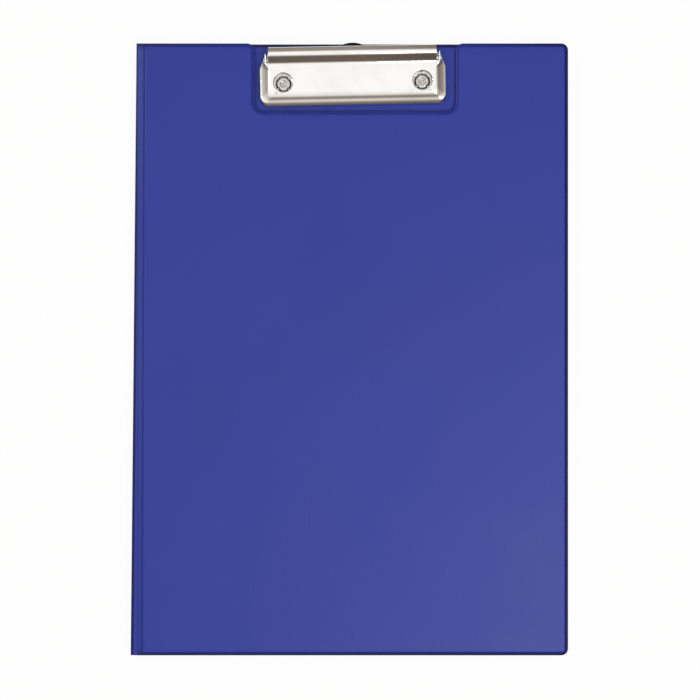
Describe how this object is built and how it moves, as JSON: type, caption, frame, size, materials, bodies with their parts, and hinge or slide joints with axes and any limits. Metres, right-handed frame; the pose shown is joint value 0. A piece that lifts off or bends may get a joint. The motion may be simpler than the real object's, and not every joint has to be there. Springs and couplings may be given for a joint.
{
  "type": "clipboard folder",
  "caption": "Clipboard folder: a stiff back board with a sprung clip and a pull-out hanging tab, under a hinged cover with a notch round the clip.",
  "frame": {"origin": "middle of the flat underside of the back board", "axes": "+X across the page towards the free edge, +Y up the page towards the clip, +Z out of the front cover"},
  "size_m": [0.2271, 0.3206, 0.0133],
  "materials": {
    "blue_film": "satin, finely grained film",
    "greyboard": "matt",
    "clear_film": "clear, satin",
    "nickel": "nickel plated, mirror-like",
    "spring_steel": "bright drawn wire",
    "black_plastic": "matt"
  },
  "bodies": {
    "back": {"back_outer_film": "blue_film", "back_board": "greyboard", "back_inner_film": "blue_film", "clip_base": "nickel", "clip_axle": "nickel", "clip_rivets": "nickel", "clip_spring": "spring_steel"},
    "spine": {"spine_outer_film": "blue_film", "spine_inner_film": "blue_film"},
    "cover": {"cover_outer_film": "blue_film", "cover_board": "greyboard", "cover_inner_film": "blue_film", "cover_pocket": "clear_film"},
    "lever": {"clip_lever": "nickel"},
    "tab": {"hanging_tab": "black_plastic"}
  },
  "joints": [
    {"name": "spine_fold", "type": "hinge", "parent": "back", "child": "spine", "pos_m": [-0.1146, 0, 0.0014], "axis": [0, -1, 0], "range_deg": [0, 180]},
    {"name": "cover_fold", "type": "hinge", "parent": "spine", "child": "cover", "pos_m": [-0.1146, 0, 0.00505], "axis": [0, -1, 0], "range_deg": [0, 180]},
    {"name": "lever_tilt", "type": "hinge", "parent": "back", "child": "lever", "pos_m": [-0.0014, 0.1515, 0.0062], "axis": [-0.9998, -0.0192, 0], "range_deg": [0, 20], "stiffness_Nm_per_rad": 0.06, "springref_deg": -20.05, "deforming": ["clip_spring"]},
    {"name": "tab_slide", "type": "slide", "parent": "back", "child": "tab", "axis": [-0.0192, 0.9998, 0], "range_m": [0, 0.0118]}
  ]
}
